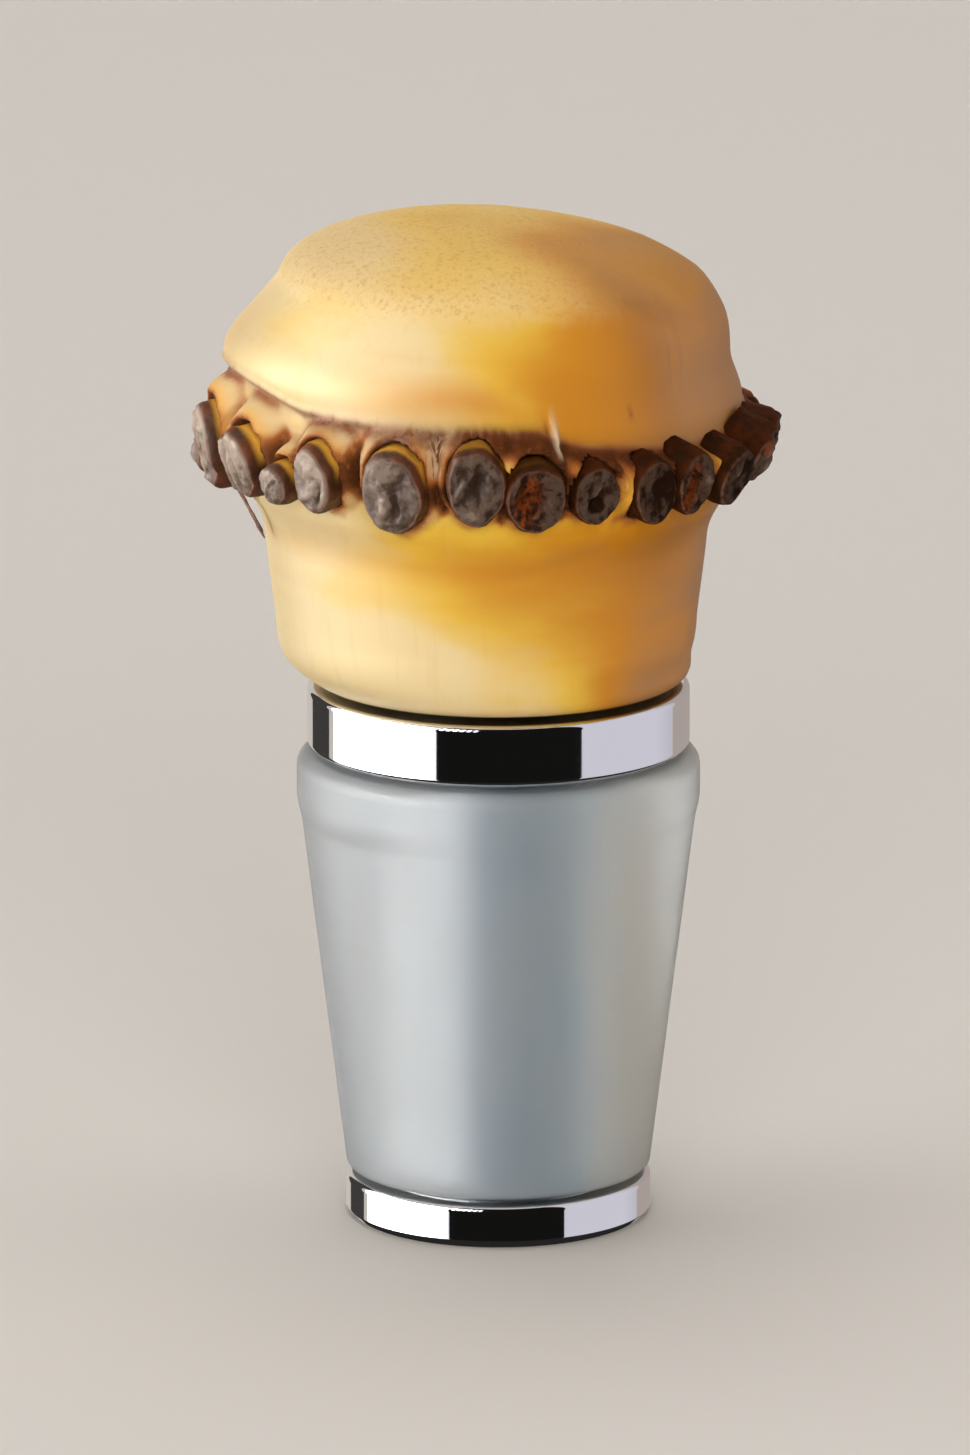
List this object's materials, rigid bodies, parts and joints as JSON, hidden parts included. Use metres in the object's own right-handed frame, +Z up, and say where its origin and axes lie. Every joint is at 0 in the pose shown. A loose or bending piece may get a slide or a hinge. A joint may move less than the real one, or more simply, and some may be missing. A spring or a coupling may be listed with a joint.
{
  "type": "bottle stopper",
  "caption": "Bottle stopper: a bamboo-root knob with a ring of trimmed root stubs, a plated metal collar and foot, and a tapered frosted silicone sleeve.",
  "frame": {"origin": "centre of the flat underside of the metal foot", "axes": "+Z up the stopper's axis, from the foot to the knob; the front seen in the picture is -Y and its right is +X"},
  "size_m": [0.0305, 0.0302, 0.0534],
  "materials": {
    "bamboo": "polished golden root skin, dark brown cut root ends, sanded dome",
    "plated_metal": "mirror plating",
    "silicone": "frosted, see-through",
    "steel": "bright, unplated"
  },
  "bodies": {
    "root": {"bamboo_knob": "bamboo", "stopper_body": "plated_metal", "silicone_sleeve": "silicone", "threaded_stud": "steel"}
  },
  "joints": []
}
